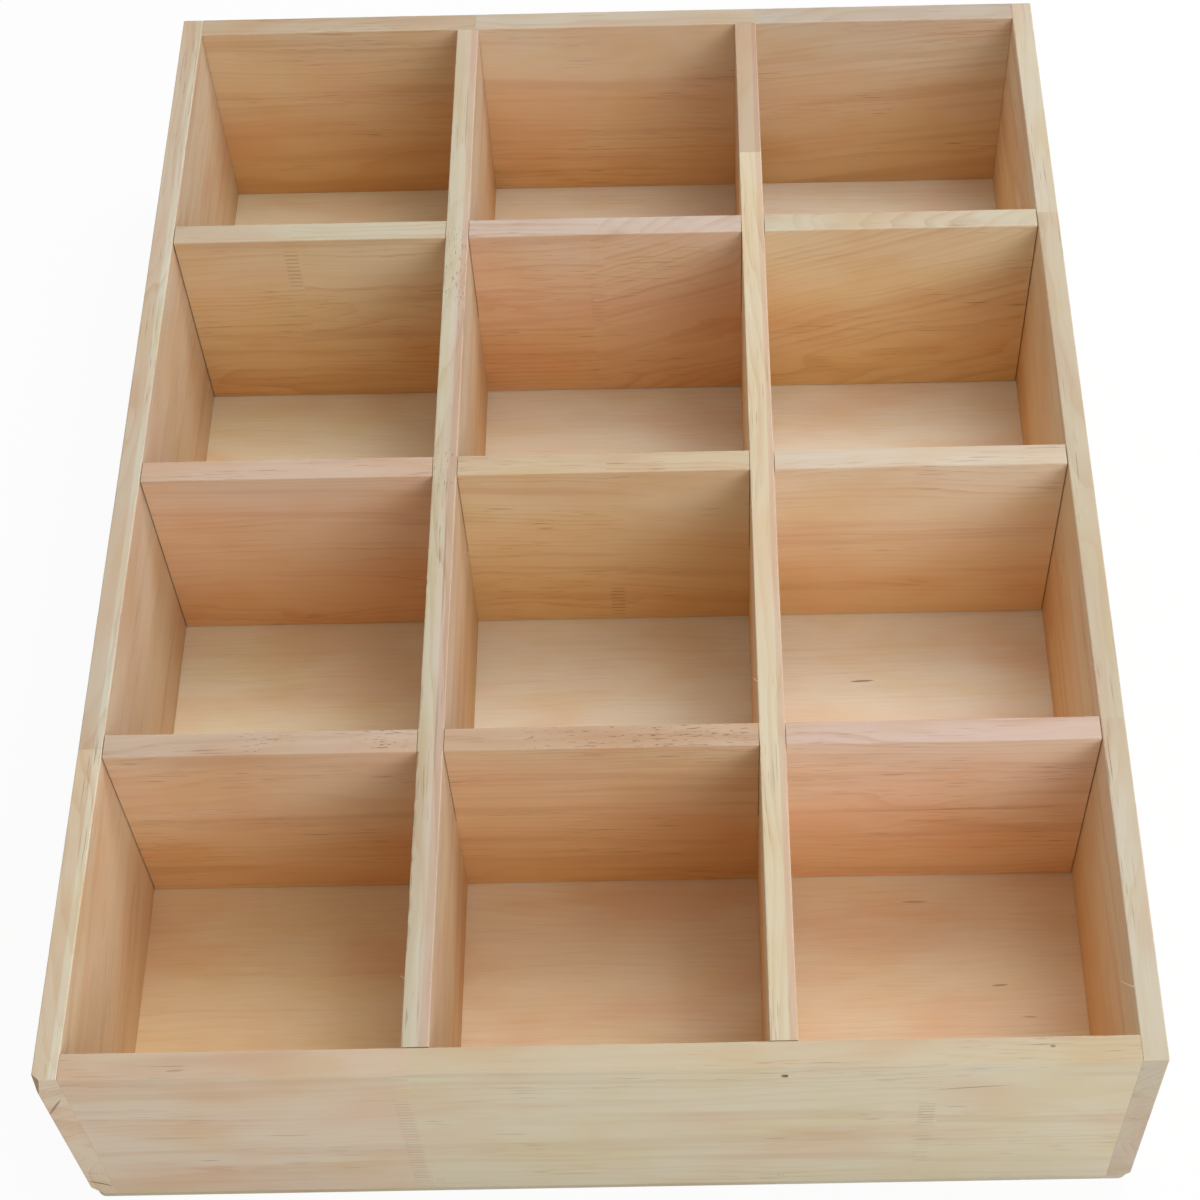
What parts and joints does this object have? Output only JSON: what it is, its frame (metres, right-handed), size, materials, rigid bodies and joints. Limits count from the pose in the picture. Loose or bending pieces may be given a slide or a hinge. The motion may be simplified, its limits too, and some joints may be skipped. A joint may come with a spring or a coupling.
{
  "type": "trinket wall shelf",
  "caption": "Open wooden wall case with a grid of square compartments for trinkets, made of butt-jointed boards, halved dividers and a thin back panel.",
  "frame": {"origin": "middle of the back face, with the case lying on its back", "axes": "+Z out of the open front, +Y towards the end that is up when it hangs, +X to the right seen from the front"},
  "size_m": [0.3, 0.4, 0.0845],
  "materials": {
    "pine_board": "bare sanded finger-jointed pine",
    "pine_panel": "bare smooth thin pine panel",
    "brad_steel": "dull bright steel wire"
  },
  "bodies": {
    "root": {"left_side": "pine_board", "right_side": "pine_board", "bottom_board": "pine_board", "top_board": "pine_board", "upright_1": "pine_board", "upright_2": "pine_board", "shelf_1": "pine_board", "shelf_2": "pine_board", "shelf_3": "pine_board", "back_panel": "pine_panel", "corner_brads": "brad_steel", "upright_brads": "brad_steel", "shelf_brads": "brad_steel", "back_brads": "brad_steel"}
  },
  "joints": []
}
